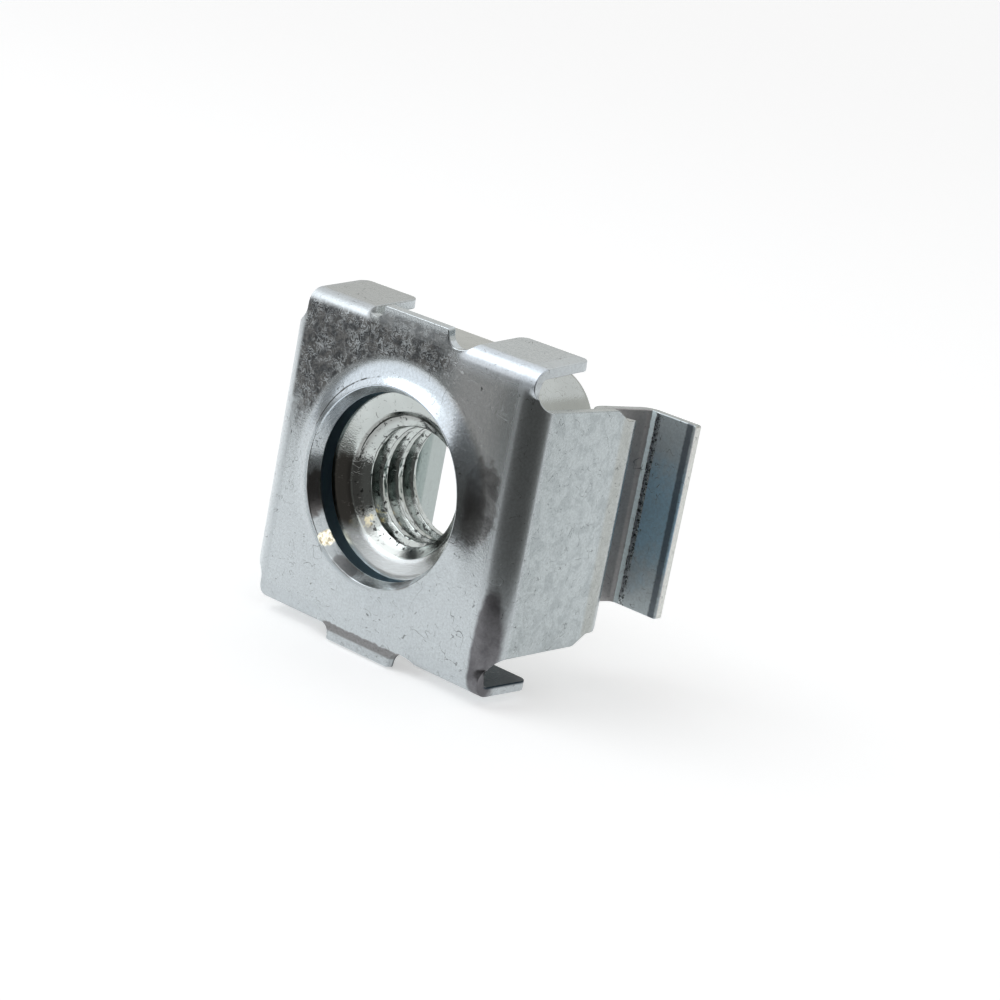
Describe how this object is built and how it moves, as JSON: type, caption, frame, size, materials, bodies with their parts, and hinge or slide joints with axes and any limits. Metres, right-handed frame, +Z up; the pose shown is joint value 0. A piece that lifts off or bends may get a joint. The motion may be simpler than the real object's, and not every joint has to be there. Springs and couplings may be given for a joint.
{
  "type": "cage nut",
  "caption": "Square steel nut held loose in a folded spring-sheet cage that clips into a square rail hole and takes a screw from the far side.",
  "frame": {"origin": "on the screw axis, in the outer face of the cage's front plate", "axes": "+X across the two spring legs, +Y along the screw axis from the front plate towards the lips, +Z up on the rail"},
  "size_m": [0.0171, 0.0116, 0.0154],
  "materials": {
    "cage_sheet": "bright zinc plate on spring steel, lightly scuffed",
    "nut_steel": "bright zinc plate on steel"
  },
  "bodies": {
    "root": {"spring_cage": "cage_sheet", "square_nut": "nut_steel"}
  },
  "joints": []
}
